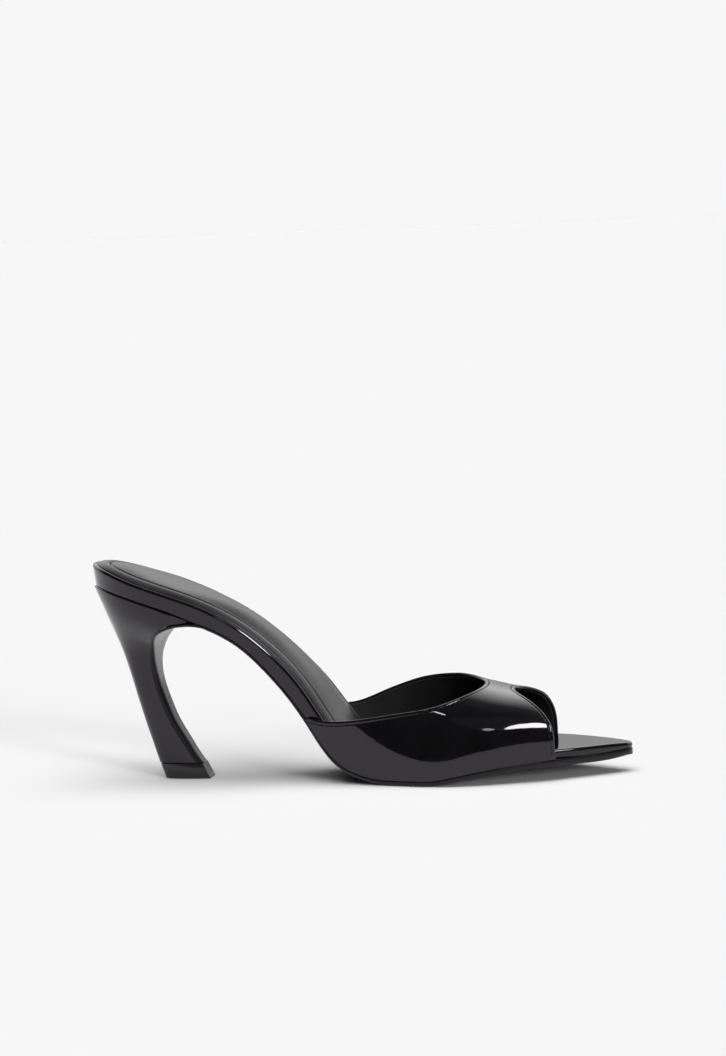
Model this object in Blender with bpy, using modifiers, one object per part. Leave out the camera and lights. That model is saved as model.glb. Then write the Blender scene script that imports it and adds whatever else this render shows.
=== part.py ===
"""High-heeled open-toe mule, right foot, standing empty on a floor.

Frame: +X towards the toe, +Y towards the inner (medial) side, +Z up, floor at
Z = 0, origin under the middle of the shoe.  The tables and functions below are
in millimetres, with x measured from the back of the seat; the meshes are made
in metres.
"""

import bpy
import bmesh
import numpy as np

# ---------------------------------------------------------------- main sizes
MM = 0.001
LENGTH = 225.0          # back of the seat to the tip of the toe, along the floor
GAP = 0.3               # clearance between two pieces that touch
WALL = 2.0              # upper: leather, lining and turned edge
SIDE_GAP = 0.55         # upper to the edge of the footbed
SEAT_LENGTH = 34.0      # the seat's back is half an ellipse this long
TOE_RADIUS = 5.5        # blunt tip of the toe
TOE_CENTRE_X = LENGTH - TOE_RADIUS
TOE_CENTRE_Y = 0.8
TOE_JOIN_X = 222.5      # the tip's arc starts here
TIP_HEIGHT = 6.6        # heel tip
SEAT_UNDERCUT = 0.8     # the wrapped edge leans in this much towards the heel
INSOLE_INSET = 2.2      # the insole stops this far inside the footbed's edge
INSOLE_END_X = 182.0    # it ends under the vamp
INSOLE_EDGE = 0.8       # thickness at its edge
INSOLE_PAD = 2.5        # the padded middle rises this much more
PAD_START, PAD_RISE = 7.5, 13.0   # distance from the footbed's edge
LAST_POWER = 2.3        # roundness of the last's top

# ------------------------------------------------------- tables of sections
# Plan of the insole board: outer (lateral) and inner (medial) edge from the
# heel's axis.
PLAN_COLUMNS = ("x", "lateral", "medial")
PLAN = (
    (34.0, 25.7, 25.5), (45.0, 25.7, 24.4), (55.0, 25.4, 22.4),
    (70.0, 24.2, 19.6), (85.0, 23.4, 19.6), (100.0, 24.0, 22.6),
    (115.0, 26.8, 26.8), (130.0, 31.2, 31.2), (145.0, 35.4, 35.2),
    (155.0, 36.3, 36.9), (165.0, 35.0, 36.9), (175.0, 32.2, 34.6),
    (185.0, 28.2, 30.6), (195.0, 23.6, 25.6), (205.0, 17.8, 19.4),
    (213.0, 12.0, 13.6), (219.0, 7.0, 8.6), (222.5, 3.81, 5.41),
)

# Side view along the outer edge: the footbed's rim, the feather line where
# footbed and upper meet the sole, and the thickness of the sole.
PROFILE_COLUMNS = ("x", "rim", "feather", "sole")
PROFILE = (
    (0.0, 92.4, 82.9, 1.3), (5.0, 90.9, 82.3, 1.3), (12.0, 88.4, 80.4, 1.3),
    (20.0, 85.4, 78.1, 1.3), (30.0, 82.0, 74.9, 1.3), (38.0, 79.2, 72.0, 1.3),
    (46.0, 76.3, 68.5, 1.3), (54.0, 72.8, 65.6, 1.45), (62.0, 68.2, 61.3, 1.5),
    (69.0, 63.3, 56.0, 1.5), (75.0, 58.2, 49.9, 1.5), (81.0, 52.6, 43.1, 1.5),
    (87.0, 45.9, 35.5, 1.5), (93.0, 37.9, 26.8, 1.5), (98.0, 29.8, 18.7, 1.55),
    (103.0, 21.9, 11.9, 1.65), (108.0, 15.9, 7.6, 1.8), (114.0, 11.5, 4.8, 1.9),
    (120.0, 9.2, 3.1, 2.0), (126.0, 8.0, 2.3, 2.0), (146.0, 7.6, 2.3, 2.0),
    (152.0, 8.4, 3.3, 2.2), (159.0, 9.6, 4.6, 2.35), (167.0, 10.8, 6.0, 2.4),
    (175.0, 11.6, 7.1, 2.4), (183.0, 12.2, 8.0, 2.55), (190.0, 12.5, 8.6, 2.75),
    (197.0, 12.6, 8.9, 3.1), (205.0, 12.6, 9.0, 3.2), (213.0, 12.6, 9.1, 3.25),
    (219.0, 12.5, 9.4, 3.05), (225.0, 12.2, 9.9, 2.5),
)

# Height of the inner edge over the outer edge: the waist rolls inwards, and the
# inner arch carries farther forward.
TWIST_COLUMNS = ("x", "rise")
TWIST = (
    (0.0, 0.0), (30.0, 0.0), (45.0, -0.6), (60.0, -1.3), (70.0, -1.0),
    (80.0, 0.0), (90.0, 0.8), (98.0, 3.0), (104.0, 3.5), (110.0, 2.5),
    (117.0, 1.0), (124.0, 0.0), (225.0, 0.0),
)

# The last over the forefoot: height of its ridge, the ridge's offset to the
# inner side, and how upright its sides stand (a power: they get squarer towards
# the toe).
LAST_COLUMNS = ("x", "ridge", "offset", "side")
LAST = (
    (84.0, 96.0, 7.0, 2.3), (100.0, 80.0, 7.0, 2.3), (115.0, 66.0, 7.0, 2.3),
    (130.0, 53.5, 7.0, 2.4), (145.0, 44.6, 7.0, 2.8), (155.0, 40.6, 6.5, 3.15),
    (165.0, 37.7, 6.0, 3.55), (172.0, 35.9, 6.0, 3.85), (178.0, 34.7, 6.5, 4.0),
    (183.0, 33.9, 7.0, 4.1), (188.0, 32.6, 7.0, 4.2), (194.0, 30.0, 6.5, 4.3),
    (200.0, 26.5, 6.0, 4.4),
)

# The vamp on the last.  "around" runs from the outer feather line (-1) over
# the ridge (0) to the inner feather line (1); throat and toe are the two cut
# edges.
# Height over the feather up to which the vamp's sides stand upright, and how
# far up the change that makes them upright reaches.
UPRIGHT_COLUMNS = ("x", "height", "reach")
UPRIGHT = (
    (84.0, 30.0, 40.0), (100.0, 27.0, 38.0), (112.0, 22.0, 33.0), (120.0, 17.0, 27.0),
    (128.0, 12.0, 21.0), (135.0, 8.6, 17.0), (143.0, 6.2, 14.5), (150.0, 5.7, 14.0),
    (162.0, 6.4, 14.0), (175.0, 7.4, 14.0), (200.0, 7.6, 14.0),
)
VAMP_COLUMNS = ("around", "throat", "toe")
VAMP = (
    (-1.00, 92.6, 196.8), (-0.96, 96.1, 196.8), (-0.92, 99.8, 196.8),
    (-0.86, 105.8, 196.7), (-0.78, 117.0, 196.5), (-0.72, 125.0, 196.4),
    (-0.65, 134.2, 196.2), (-0.55, 145.0, 195.5), (-0.45, 152.7, 193.7),
    (-0.35, 158.0, 190.7), (-0.25, 161.8, 186.3), (-0.15, 164.0, 181.1),
    (-0.06, 164.6, 176.9), (0.00, 163.8, 175.9), (0.06, 161.2, 176.6),
    (0.13, 157.2, 179.2), (0.20, 153.2, 182.6), (0.33, 146.0, 186.3),
    (0.47, 136.7, 187.9), (0.59, 128.0, 189.1), (0.70, 119.4, 189.7),
    (0.81, 110.8, 190.0), (0.90, 103.2, 190.0), (0.96, 97.5, 190.0),
    (1.00, 93.5, 190.0),
)

# Heel block from the tip up to the seat, a slice per row.  Each slice runs
# from the front (breast) to the back; "seat" is how far its outline has turned
# from the stem's into the seat's, and "flap" is the sole that covers the front.
HEEL_COLUMNS = ("front_x", "front_z", "back_x", "back_z", "half", "seat", "flap")
HEEL = (
    (41.4, 6.9, 24.6, 6.9, 4.70, 0.00, 2.10), (39.1, 10.0, 23.6, 10.2, 4.75, 0.00, 2.30),
    (37.3, 13.0, 22.7, 13.2, 4.80, 0.00, 2.40), (35.5, 16.0, 21.75, 16.3, 4.90, 0.00, 2.45),
    (33.2, 20.0, 20.5, 20.4, 5.10, 0.00, 2.40), (30.6, 25.0, 19.0, 25.5, 5.30, 0.00, 2.35),
    (28.65, 30.0, 17.6, 30.6, 5.50, 0.00, 2.30), (26.97, 35.0, 16.2, 35.8, 5.70, 0.00, 2.20),
    (25.53, 40.0, 14.8, 41.2, 6.00, 0.00, 2.10), (24.67, 45.0, 13.3, 46.8, 6.50, 0.00, 1.95),
    (24.40, 50.0, 11.7, 52.3, 7.50, 0.02, 1.80), (24.75, 54.0, 10.2, 57.0, 9.00, 0.06, 1.70),
    (25.70, 58.0, 8.5, 61.8, 11.5, 0.14, 1.60), (26.90, 60.6, 7.0, 66.0, 14.0, 0.26, 1.50),
    (28.90, 63.1, 5.4, 70.2, 17.0, 0.42, 1.45), (31.70, 64.9, 4.1, 73.8, 19.8, 0.60, 1.40),
    (34.90, 66.2, 3.0, 76.6, 22.0, 0.76, 1.35), (38.10, 67.1, 2.2, 78.8, 23.6, 0.88, 1.30),
    (41.50, 67.5, 1.5, 80.7, 24.6, 0.96, 1.30), (45.50, 68.3, 1.0, 82.5, 25.0, 1.00, 1.30),
)

TIP_COLUMNS = ("z", "back_x", "front_x", "half")
TIP = ((0.0, 27.2, 46.9, 4.6), (0.5, 26.8, 47.0, 4.9), (TIP_HEIGHT, 24.9, 44.0, 4.75))


# ------------------------------------------------------------------ functions
def column(table, names, name):
    return np.array([row[names.index(name)] for row in table], float)


def smooth(xs, ys):
    """A curve through the rows that never overshoots them."""
    step = np.diff(xs)
    slope = np.diff(ys) / step
    tangent = np.zeros(len(xs))
    tangent[0], tangent[-1] = slope[0], slope[-1]
    for i in range(1, len(xs) - 1):
        if slope[i - 1] * slope[i] > 0:
            a, b = 2 * step[i] + step[i - 1], step[i] + 2 * step[i - 1]
            tangent[i] = (a + b) / (a / slope[i - 1] + b / slope[i])

    def curve(x):
        x = np.clip(np.asarray(x, float), xs[0], xs[-1])
        i = np.clip(np.searchsorted(xs, x) - 1, 0, len(xs) - 2)
        t, h = (x - xs[i]) / step[i], step[i]
        return (
            (1 + 2 * t) * (1 - t) ** 2 * ys[i]
            + t * (1 - t) ** 2 * h * tangent[i]
            + t * t * (3 - 2 * t) * ys[i + 1]
            + t * t * (t - 1) * h * tangent[i + 1]
        )

    return curve


def curve_of(table, names, name):
    return smooth(column(table, names, names[0]), column(table, names, name))


def ease(x, low, high):
    t = np.clip((np.asarray(x, float) - low) / (high - low), 0, 1)
    return t * t * (3 - 2 * t)


board_lateral = curve_of(PLAN, PLAN_COLUMNS, "lateral")
board_medial = curve_of(PLAN, PLAN_COLUMNS, "medial")
rim = curve_of(PROFILE, PROFILE_COLUMNS, "rim")
feather = curve_of(PROFILE, PROFILE_COLUMNS, "feather")
sole_thickness = curve_of(PROFILE, PROFILE_COLUMNS, "sole")
twist = curve_of(TWIST, TWIST_COLUMNS, "rise")
ridge = curve_of(LAST, LAST_COLUMNS, "ridge")
ridge_offset = curve_of(LAST, LAST_COLUMNS, "offset")
side_power = curve_of(LAST, LAST_COLUMNS, "side")
upright = curve_of(UPRIGHT, UPRIGHT_COLUMNS, "height")
upright_reach = curve_of(UPRIGHT, UPRIGHT_COLUMNS, "reach")
throat = curve_of(VAMP, VAMP_COLUMNS, "throat")
toe_cut = curve_of(VAMP, VAMP_COLUMNS, "toe")


def board_edge(x, side, inset=0.0):
    """Distance of the footbed's edge from the heel's axis; side -1 is lateral."""
    x = np.asarray(x, float)
    edge = board_lateral if side < 0 else board_medial
    back = (edge(SEAT_LENGTH) - inset) * np.sqrt(
        np.clip(1 - ((SEAT_LENGTH - x) / (SEAT_LENGTH - inset)) ** 2, 0, 1)
    )
    lean = (edge(x + 0.5) - edge(x - 0.5)) / 1.0
    along = edge(x) - inset * np.sqrt(1 + lean**2)
    tip = side * TOE_CENTRE_Y + np.sqrt(
        np.clip((TOE_RADIUS - inset) ** 2 - (x - TOE_CENTRE_X) ** 2, 0, None)
    )
    return np.where(x < SEAT_LENGTH, back, np.where(x > TOE_JOIN_X, tip, along))


def slope_factor(curve, x):
    """Vertical thickness for each millimetre measured square to the curve."""
    return np.sqrt(1 + (curve(x + 0.5) - curve(x - 0.5)) ** 2)


def across(x, y):
    """0 at the outer edge of the footbed, 1 at the inner edge."""
    outer, inner = -board_edge(x, -1), board_edge(x, 1)
    return np.clip((y - outer) / np.maximum(inner - outer, 1e-6), 0, 1)


def rim_at(x, y):
    return rim(x) + twist(x) * across(x, y)


def feather_at(x, y):
    return feather(x) + twist(x) * across(x, y)


def outline():
    """The footbed's edge in plan, as one ring of points."""
    turn = np.linspace(0, np.pi / 2, 40)
    xs = np.concatenate([
        SEAT_LENGTH * (1 - np.cos(turn)),
        np.linspace(SEAT_LENGTH, TOE_JOIN_X, 190)[1:],
        np.linspace(TOE_JOIN_X, LENGTH, 12)[1:],
    ])
    return np.concatenate([
        np.column_stack([xs, -board_edge(xs, -1)]),
        np.column_stack([xs, board_edge(xs, 1)])[::-1],
    ])


OUTLINE = outline()


def edge_distance(x, y):
    """Distance in plan from a point inside the footbed to its edge."""
    return np.hypot(OUTLINE[:, 0] - x, OUTLINE[:, 1] - y).min()


def last_point(x, around):
    """A point of the vamp's outer face."""
    side = -1 if around < 0 else 1
    edge = side * (board_edge(x, side) + SIDE_GAP + WALL)
    low = feather_at(x, edge)
    up = np.sin((1 - abs(around)) * np.pi / 2) ** (2 / LAST_POWER)
    out = max(1 - up ** side_power(x), 0.0) ** (1 / LAST_POWER)
    y = ridge_offset(x) + (edge - ridge_offset(x)) * out
    high = ridge(x) - low
    limit, reach, power = upright(x), upright_reach(x), side_power(x)
    at = np.clip(limit / high, 0.01, 0.95)
    fall = power / LAST_POWER * at ** (power - 1) * (1 - at**power) ** (1 / LAST_POWER - 1)
    lean = abs(edge - ridge_offset(x)) * fall / high - 0.047
    lean = np.clip(lean * np.exp(min(limit / reach, 1.2)), -0.06, 0.19)
    y += side * lean * reach * (1 - np.exp(-high * up / reach)) * (1 - up**4)
    return (float(x), float(y), float(low + high * up))


def stations(start, end):
    """Where the sections along the shoe lie: closer together at both ends."""
    turn = np.radians(np.linspace(6, 90, 9))
    xs = np.concatenate([
        SEAT_LENGTH * (1 - np.cos(turn)),
        np.arange(SEAT_LENGTH + 4, TOE_CENTRE_X - 1, 4.0),
        TOE_CENTRE_X + TOE_RADIUS * np.sin(np.radians(np.linspace(8, 80, 6))),
    ])
    return [x for x in xs if start <= x <= end]


# ------------------------------------------------------------- mesh builders
SHIFT = np.array([
    LENGTH / 2,
    (max(p[2] for p in PLAN) - max(p[1] for p in PLAN)) / 2,
    0.0,
])


def material(name, colour, roughness, coat=0.0):
    made = bpy.data.materials.new(name)
    made.use_nodes = True
    shader = made.node_tree.nodes["Principled BSDF"]
    shader.inputs["Base Color"].default_value = (*colour, 1.0)
    shader.inputs["Roughness"].default_value = roughness
    shader.inputs["Metallic"].default_value = 0.0
    shader.inputs["Coat Weight"].default_value = coat
    made.diffuse_color = (*colour, 1.0)
    return made


def add_object(name, mesh_data, surface, collection):
    mesh = bpy.data.meshes.new(name)
    mesh_data.to_mesh(mesh)
    mesh_data.free()
    mesh.materials.append(surface)
    mesh.shade_smooth()
    mesh.set_sharp_from_angle(angle=np.radians(35))
    piece = bpy.data.objects.new(name, mesh)
    collection.objects.link(piece)
    return piece


def skin(grid, closed_loops):
    """A surface over rows of points, in metres; closed_loops joins each row."""
    mesh = bmesh.new()
    rows = [
        [mesh.verts.new((np.asarray(p) - SHIFT) * MM) for p in row] for row in grid
    ]
    count = len(rows[0])
    for near, far in zip(rows[:-1], rows[1:]):
        for i in range(count if closed_loops else count - 1):
            j = (i + 1) % count
            mesh.faces.new((near[i], near[j], far[j], far[i]))
    return mesh, rows


def loft(name, sections, surface, collection):
    """A closed solid through sections that all have the same number of points."""
    mesh, rows = skin(sections, True)
    mesh.faces.new(rows[0][::-1])
    mesh.faces.new(rows[-1])
    bmesh.ops.recalc_face_normals(mesh, faces=mesh.faces[:])
    return add_object(name, mesh, surface, collection)


def arc(radius, start, end, count):
    """Points of a rounded corner about its own centre."""
    angle = np.radians(np.linspace(start, end, count))
    return radius * np.cos(angle), radius * np.sin(angle)


# -------------------------------------------------------------------- pieces
def footbed(surface, collection):
    """The wrapped insole board, with a rounded rim and a leaning edge."""
    sections = []
    for x in stations(0, LENGTH):
        outer, inner = board_edge(x, -1), board_edge(x, 1)
        width = outer + inner
        top = min(1.2, 0.3 * width)
        low = min(0.5, 0.15 * width)
        under = min(SEAT_UNDERCUT, 0.2 * width) * (1 - ease(x, 30, 60)) + 0.15
        loop = []
        for side, edge in ((-1, outer), (1, inner)):
            corner = []
            out, up = arc(low, -90, 0, 2)
            for o, u in zip(out, up):
                y = side * (edge - under - low + o)
                corner.append((x, y, feather_at(x, y) + low + u))
            out, up = arc(top, 0, 90, 4)
            for o, u in zip(out, up):
                y = side * (edge - top + o)
                corner.append((x, y, rim_at(x, y) - top + u))
            loop.append(corner)
        middle = [
            (x, y, rim_at(x, y))
            for y in np.linspace(-outer + top, inner - top, 5)[1:-1]
        ]
        y = (inner - outer) / 2
        under_middle = [(x, y, feather_at(x, y))]
        sections.append(loop[0] + middle + loop[1][::-1] + under_middle)
    return loft("footbed", sections, surface, collection)


def insole(surface, collection):
    """The padded cover on the footbed, crowned inside its flat border."""
    shares = (-1.0, -0.94, -0.8, -0.6, -0.4, -0.2, 0.0, 0.2, 0.4, 0.6, 0.8, 0.94, 1.0)
    sections = []
    for x in stations(INSOLE_INSET + 0.2, INSOLE_END_X):
        steep = slope_factor(rim, x)
        outer = board_edge(x, -1, INSOLE_INSET)
        inner = board_edge(x, 1, INSOLE_INSET)
        ending = 1 - 0.35 * ease(x, INSOLE_END_X - 14, INSOLE_END_X)
        top, low = [], []
        for share in shares:
            y = share * (inner if share > 0 else outer) * ending
            pad = INSOLE_PAD * ease(edge_distance(x, y), PAD_START, PAD_START + PAD_RISE)
            pad *= 1 - ease(x, INSOLE_END_X - 30, INSOLE_END_X)
            height = INSOLE_EDGE if abs(share) < 1 else 0.6 * INSOLE_EDGE
            top.append((x, y, rim_at(x, y) + steep * (GAP + height + pad)))
        for share in (1.0, 0.0, -1.0):
            y = share * (inner if share > 0 else outer) * ending
            low.append((x, y, rim_at(x, y) + steep * GAP))
        sections.append(top + low)
    return loft("insole", sections, surface, collection)


def sole_edge(x, side):
    """The sole's edge: under the footbed at the waist, out to the upper's face
    below the vamp, and under the footbed again at the toe."""
    vamp_end = (196.8 if side < 0 else 190.0)
    out = ease(x, 86, 101) * (1 - ease(x, vamp_end - 4, vamp_end + 10))
    slim = 0.7 * (1 - ease(x, 80, 95)) + 0.25
    return board_edge(x, side) - slim + out * (SIDE_GAP + WALL)


def flap_front():
    """Inner and outer line of the part of the sole that covers the heel."""
    front = np.column_stack([
        column(HEEL, HEEL_COLUMNS, "front_x"), column(HEEL, HEEL_COLUMNS, "front_z")
    ])[::-1]
    front[0, 1] = 67.6
    thick = column(HEEL, HEEL_COLUMNS, "flap")[::-1]
    half = column(HEEL, HEEL_COLUMNS, "half")[::-1]
    seat = column(HEEL, HEEL_COLUMNS, "seat")[::-1]
    widths = [
        (1 - seat) * half + seat * sole_edge(front[:, 0], side) for side in (-1, 1)
    ]
    run = np.gradient(front, axis=0)
    run /= np.linalg.norm(run, axis=1)[:, None]
    square = np.column_stack([-run[:, 1], run[:, 0]])
    thick[-1] /= square[-1, 0]
    square[-1] = (1.0, 0.0)
    inner = front + GAP * square
    return inner, inner + thick[:, None] * square, widths, seat * twist(front[:, 0])


def outsole(surface, collection):
    """Thin sole from the toe along the waist and down the front of the heel."""
    sections = []

    def section(places):
        """places: (upper point, lower point) for lateral edge, middle, medial."""
        (a, b), (c, d), (e, f) = [(np.array(u), np.array(v)) for u, v in places]

        def bevelled(top, bottom, toward):
            inward = (toward - bottom) * min(0.25, 0.5 / max(np.linalg.norm(toward - bottom), 1e-6))
            return [top, bottom + 0.35 * (top - bottom), bottom + inward]

        left = bevelled(a, b, d)
        right = bevelled(e, f, d)
        return left[::-1] + [c] + right + [d]

    for x in reversed(stations(47.5, LENGTH)):
        steep = slope_factor(feather, x)
        outer, inner = -sole_edge(x, -1), sole_edge(x, 1)
        places = []
        for y in (outer, (outer + inner) / 2, inner):
            top = feather_at(x, y) - GAP * steep
            places.append(((x, y, top), (x, y, top - sole_thickness(x) * steep)))
        sections.append(section(places))
    near, far, (lateral, medial), roll = flap_front()
    for (x0, z0), (x1, z1), a, b, r in zip(near, far, lateral, medial, roll):
        sections.append(section([
            ((x0, y, z0 + r * share), (x1, y, z1 + r * share))
            for y, share in ((-a, 0.0), ((b - a) / 2, 0.5), (b, 1.0))
        ]))
    return loft("outsole", sections, surface, collection)


def heel(surface, collection):
    """Covered heel block: slices that fan from the level tip to the sloping seat."""
    shares = (0.0, 0.1, 0.22, 0.36, 0.5, 0.64, 0.76, 0.86, 0.93, 0.975)
    front = np.array([HEEL[-1][0], HEEL[-1][1]])
    back = np.array([HEEL[-1][2], HEEL[-1][3]])
    sections = []
    for row in HEEL:
        value = dict(zip(HEEL_COLUMNS, row))
        a = np.array([value["front_x"], value["front_z"]])
        b = np.array([value["back_x"], value["back_z"]])
        lateral, medial = [], []
        for share in shares + (1.0,):
            x, z = a + (b - a) * share
            seat_x = back[0] + (a[0] - b[0]) * (1 - share)
            seat_z = front[1] + (back[1] - front[1]) * share
            under_x = front[0] + (back[0] - front[0]) * share
            bow = feather(under_x) - GAP * slope_factor(feather, under_x) - seat_z
            z += bow * value["seat"] ** 2
            stem = value["half"] * np.sqrt(max(1 - share**3, 0.0))
            for side, points in ((-1, lateral), (1, medial)):
                seat = max(board_edge(seat_x, side) - SEAT_UNDERCUT - 0.2, 0.0)
                y = side * ((1 - value["seat"]) * stem + value["seat"] * seat)
                points.append((x, y * (share < 1.0), z + twist(x) * (side > 0) * value["seat"]))
        sections.append(lateral + medial[:-1][::-1] + [
            (a[0], 0.0, lateral[0][2] + 0.5 * twist(a[0]) * value["seat"])
        ])
    return loft("heel", sections, surface, collection)


def heel_tip(surface, collection):
    """Wear tip, flat underneath, with the heel's outline."""
    shares = (0.0, 0.08, 0.3, 0.5, 0.68, 0.82, 0.92, 0.975)
    sections = []
    for z, back_x, front_x, half in TIP:
        sides = [
            (front_x + (back_x - front_x) * s, -half * np.sqrt(max(1 - s**3, 0.0)), z)
            for s in shares + (1.0,)
        ]
        sections.append(sides + [(x, -y, z) for x, y, z in sides[:-1][::-1]])
    return loft("heel_tip", sections, surface, collection)


def upper(surface, collection):
    """The vamp: one open sheet on the last, cut at throat and toe, given its
    thickness inwards."""
    around = np.concatenate([
        np.linspace(-1, -0.85, 5)[:-1], np.linspace(-0.85, -0.2, 10)[:-1],
        np.linspace(-0.2, 0.25, 8)[:-1], np.linspace(0.25, 0.85, 9)[:-1],
        np.linspace(0.85, 1, 5),
    ])
    shares = np.linspace(0, 1, 15)
    grid = []
    for a in around:
        start, end = throat(a), toe_cut(a)
        grid.append([last_point(start + (end - start) * s, a) for s in shares])
    mesh, _ = skin(grid, False)
    bmesh.ops.recalc_face_normals(mesh, faces=mesh.faces[:])
    top = max(mesh.faces, key=lambda face: face.calc_center_median().z)
    if top.normal.z < 0:
        bmesh.ops.reverse_faces(mesh, faces=mesh.faces[:])
    piece = add_object("upper", mesh, surface, collection)
    wall = piece.modifiers.new("wall", "SOLIDIFY")
    wall.thickness = WALL * MM
    wall.offset = -1.0
    wall.use_even_offset = True
    wall.use_rim = True
    return piece


def main():
    for old in list(bpy.data.objects):
        bpy.data.objects.remove(old, do_unlink=True)
    shoe = bpy.data.collections.new("mule")
    bpy.context.scene.collection.children.link(shoe)
    patent = (0.012, 0.011, 0.013)
    upper(material("patent_leather", patent, 0.12, 1.0), shoe)
    footbed(material("patent_wrap", patent, 0.12, 1.0), shoe)
    insole(material("grained_leather", (0.045, 0.042, 0.045), 0.55), shoe)
    outsole(material("sole_leather", (0.02, 0.02, 0.02), 0.45), shoe)
    heel(material("patent_cover", patent, 0.14, 1.0), shoe)
    heel_tip(material("hard_plastic", (0.02, 0.019, 0.021), 0.3), shoe)


main()
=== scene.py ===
"""Looks of the high-heeled open-toe mule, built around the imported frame.

Sizes are in millimetres in the tables, with x from the back of the seat; the
frame has +X to the toe, +Y to the inner side and +Z up, in metres.
"""

import math

import bpy
import numpy as np
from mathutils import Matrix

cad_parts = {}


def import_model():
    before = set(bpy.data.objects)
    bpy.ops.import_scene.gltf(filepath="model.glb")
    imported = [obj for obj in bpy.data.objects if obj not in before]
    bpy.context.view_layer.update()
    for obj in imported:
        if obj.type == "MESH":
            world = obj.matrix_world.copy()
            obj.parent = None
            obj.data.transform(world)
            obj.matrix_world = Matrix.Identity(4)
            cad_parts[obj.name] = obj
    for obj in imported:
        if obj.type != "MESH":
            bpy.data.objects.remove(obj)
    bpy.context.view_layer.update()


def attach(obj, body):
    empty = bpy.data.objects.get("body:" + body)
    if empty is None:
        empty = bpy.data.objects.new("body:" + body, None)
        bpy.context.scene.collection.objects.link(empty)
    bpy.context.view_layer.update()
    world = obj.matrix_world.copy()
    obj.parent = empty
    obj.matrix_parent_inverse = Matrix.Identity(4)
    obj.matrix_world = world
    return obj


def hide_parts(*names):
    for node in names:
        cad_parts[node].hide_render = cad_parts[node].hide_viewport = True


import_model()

# ---------------------------------------------------------------- main sizes
MM = 0.001
LENGTH = 225.0
GAP = 0.08               # hairline between two pieces
WALL = 2.0
SIDE_GAP = 0.55
SEAT_LENGTH = 34.0
TOE_RADIUS = 5.5
TOE_CENTRE_X = LENGTH - TOE_RADIUS
TOE_CENTRE_Y = 0.8
TOE_JOIN_X = 222.5
TIP_HEIGHT = 6.6
SEAT_UNDERCUT = 0.8
HEEL_ROUND = 0.7         # rounded top edge of the heel
INSOLE_INSET = 2.2
INSOLE_END_X = 182.0
INSOLE_PAD = 1.45
RING_INSET = 7.4         # stitched ring round the pad
PAD_RISE = 12.0
LAST_POWER = 2.3
LEATHER = 1.35           # outer leather with its turned edge
STITCH_INSET = 1.75      # row of stitches from the cut edges of the vamp
STITCH_PITCH = 2.3
SHIFT = np.array([LENGTH / 2, 0.3, 0.0])

PLAN_COLUMNS = ("x", "lateral", "medial")
PLAN = (
    (34.0, 25.7, 25.5), (45.0, 25.7, 24.4), (55.0, 25.4, 22.4),
    (70.0, 24.2, 19.6), (85.0, 23.4, 19.6), (100.0, 24.0, 22.6),
    (115.0, 26.8, 26.8), (130.0, 31.2, 31.2), (145.0, 35.4, 35.2),
    (155.0, 36.3, 36.9), (165.0, 35.0, 36.9), (175.0, 32.2, 34.6),
    (185.0, 28.2, 30.6), (195.0, 23.6, 25.6), (205.0, 17.8, 19.4),
    (213.0, 12.0, 13.6), (219.0, 7.0, 8.6), (222.5, 3.81, 5.41),
)
PROFILE_COLUMNS = ("x", "rim", "feather", "sole")
PROFILE = (
    (0.0, 92.4, 82.9, 1.3), (5.0, 90.9, 82.3, 1.3), (12.0, 88.4, 80.4, 1.3),
    (20.0, 85.4, 78.1, 1.3), (30.0, 82.0, 74.9, 1.3), (38.0, 79.2, 72.0, 1.3),
    (46.0, 76.3, 68.5, 1.3), (54.0, 72.8, 65.6, 1.45), (62.0, 68.2, 61.3, 1.5),
    (69.0, 63.3, 56.0, 1.5), (75.0, 58.2, 49.9, 1.5), (81.0, 52.6, 43.1, 1.5),
    (87.0, 45.9, 35.5, 1.5), (93.0, 37.9, 26.8, 1.5), (98.0, 29.8, 18.7, 1.55),
    (103.0, 21.9, 11.9, 1.65), (108.0, 15.9, 7.6, 1.8), (114.0, 11.5, 4.8, 1.9),
    (120.0, 9.2, 3.1, 2.0), (126.0, 8.0, 2.3, 2.0), (146.0, 7.6, 2.3, 2.0),
    (152.0, 8.4, 3.3, 2.2), (159.0, 9.6, 4.6, 2.35), (167.0, 10.8, 6.0, 2.4),
    (175.0, 11.6, 7.1, 2.4), (183.0, 12.2, 8.0, 2.55), (190.0, 12.5, 8.6, 2.75),
    (197.0, 12.6, 8.9, 3.1), (205.0, 12.6, 9.0, 3.2), (213.0, 12.6, 9.1, 3.25),
    (219.0, 12.5, 9.4, 3.05), (225.0, 12.2, 9.9, 2.5),
)
TWIST_COLUMNS = ("x", "rise")
TWIST = (
    (0.0, 0.0), (30.0, 0.0), (45.0, -0.6), (60.0, -1.3), (70.0, -1.0),
    (80.0, 0.0), (90.0, 0.8), (98.0, 3.0), (104.0, 3.5), (110.0, 2.5),
    (117.0, 1.0), (124.0, 0.0), (225.0, 0.0),
)
LAST_COLUMNS = ("x", "ridge", "offset", "side")
LAST = (
    (84.0, 96.0, 7.0, 2.3), (100.0, 80.0, 7.0, 2.3), (115.0, 66.0, 7.0, 2.3),
    (130.0, 53.5, 7.0, 2.4), (145.0, 44.6, 7.0, 2.8), (155.0, 40.6, 6.5, 3.15),
    (165.0, 37.7, 6.0, 3.55), (172.0, 35.9, 6.0, 3.85), (178.0, 34.7, 6.5, 4.0),
    (183.0, 33.9, 7.0, 4.1), (188.0, 32.6, 7.0, 4.2), (194.0, 30.0, 6.5, 4.3),
    (200.0, 26.5, 6.0, 4.4),
)
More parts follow.
